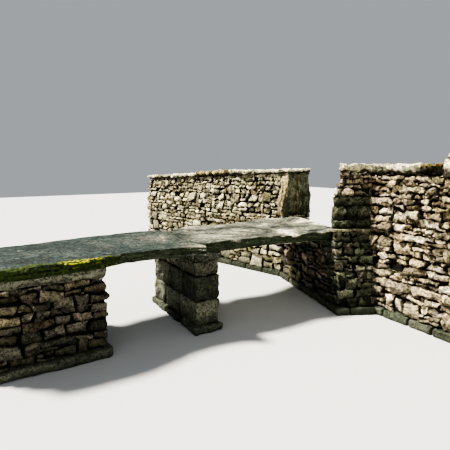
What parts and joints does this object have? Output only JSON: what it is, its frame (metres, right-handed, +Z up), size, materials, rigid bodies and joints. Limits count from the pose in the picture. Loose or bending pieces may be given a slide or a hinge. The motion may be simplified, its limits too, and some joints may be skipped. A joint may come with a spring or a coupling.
{
  "type": "stone slab bridge",
  "caption": "Low footbridge of flat stone slabs on a pier and abutments, ending in a gateway between dry-stone bank walls with flat and upright coping.",
  "frame": {"origin": "middle of the pier's foot, at the stream bed", "axes": "+X along the deck from the left bank to the right bank, +Y upstream across the deck, +Z up"},
  "size_m": [7.1612, 10.0573, 2.81],
  "materials": {
    "deck_flagstone": "riven blue-grey flagstone with pale and mossy patches",
    "pier_stone": "squared grey blocks, damp and stained near the water",
    "abutment_rubble": "coursed rubble, damp and mossy",
    "downstream_rubble": "pinkish brown and buff dry-stone rubble",
    "upstream_rubble": "cream and buff dry-stone rubble with dark joints",
    "quoin_stone": "squared end stones, grey-brown",
    "coping_stone": "pale weathered coping stone with lichen"
  },
  "bodies": {
    "root": {"downstream_coping_1": "coping_stone", "downstream_coping_2": "coping_stone", "downstream_coping_3": "coping_stone", "downstream_footing": "pier_stone", "downstream_tall_coping": "coping_stone", "downstream_top_slab": "coping_stone", "downstream_wall": "downstream_rubble", "left_abutment": "abutment_rubble", "left_abutment_footing": "pier_stone", "left_bearing_course": "pier_stone", "left_slab": "deck_flagstone", "pier_capstone": "deck_flagstone", "pier_footing": "pier_stone", "pier_lower_course": "pier_stone", "pier_middle_course": "pier_stone", "pier_upper_course": "pier_stone", "right_abutment": "abutment_rubble", "right_abutment_footing": "pier_stone", "right_bearing_course": "pier_stone", "right_slab": "deck_flagstone", "upstream_base": "upstream_rubble", "upstream_coping_1": "coping_stone", "upstream_coping_2": "coping_stone", "upstream_coping_3": "coping_stone", "upstream_end_cap": "coping_stone", "upstream_end_stone_back": "quoin_stone", "upstream_end_stone_front": "quoin_stone", "upstream_far_coping_1": "coping_stone", "upstream_far_coping_2": "coping_stone", "upstream_footing": "pier_stone", "upstream_upright_coping_1": "coping_stone", "upstream_upright_coping_2": "coping_stone", "upstream_upright_coping_3": "coping_stone", "upstream_upright_coping_4": "coping_stone", "upstream_upright_coping_5": "coping_stone", "upstream_wall": "upstream_rubble", "wing_base": "downstream_rubble", "wing_coping": "coping_stone", "wing_footing": "pier_stone", "wing_quoin_lower": "quoin_stone", "wing_quoin_middle": "quoin_stone", "wing_quoin_upper": "quoin_stone", "wing_through_course": "coping_stone", "wing_top": "downstream_rubble"}
  },
  "joints": []
}
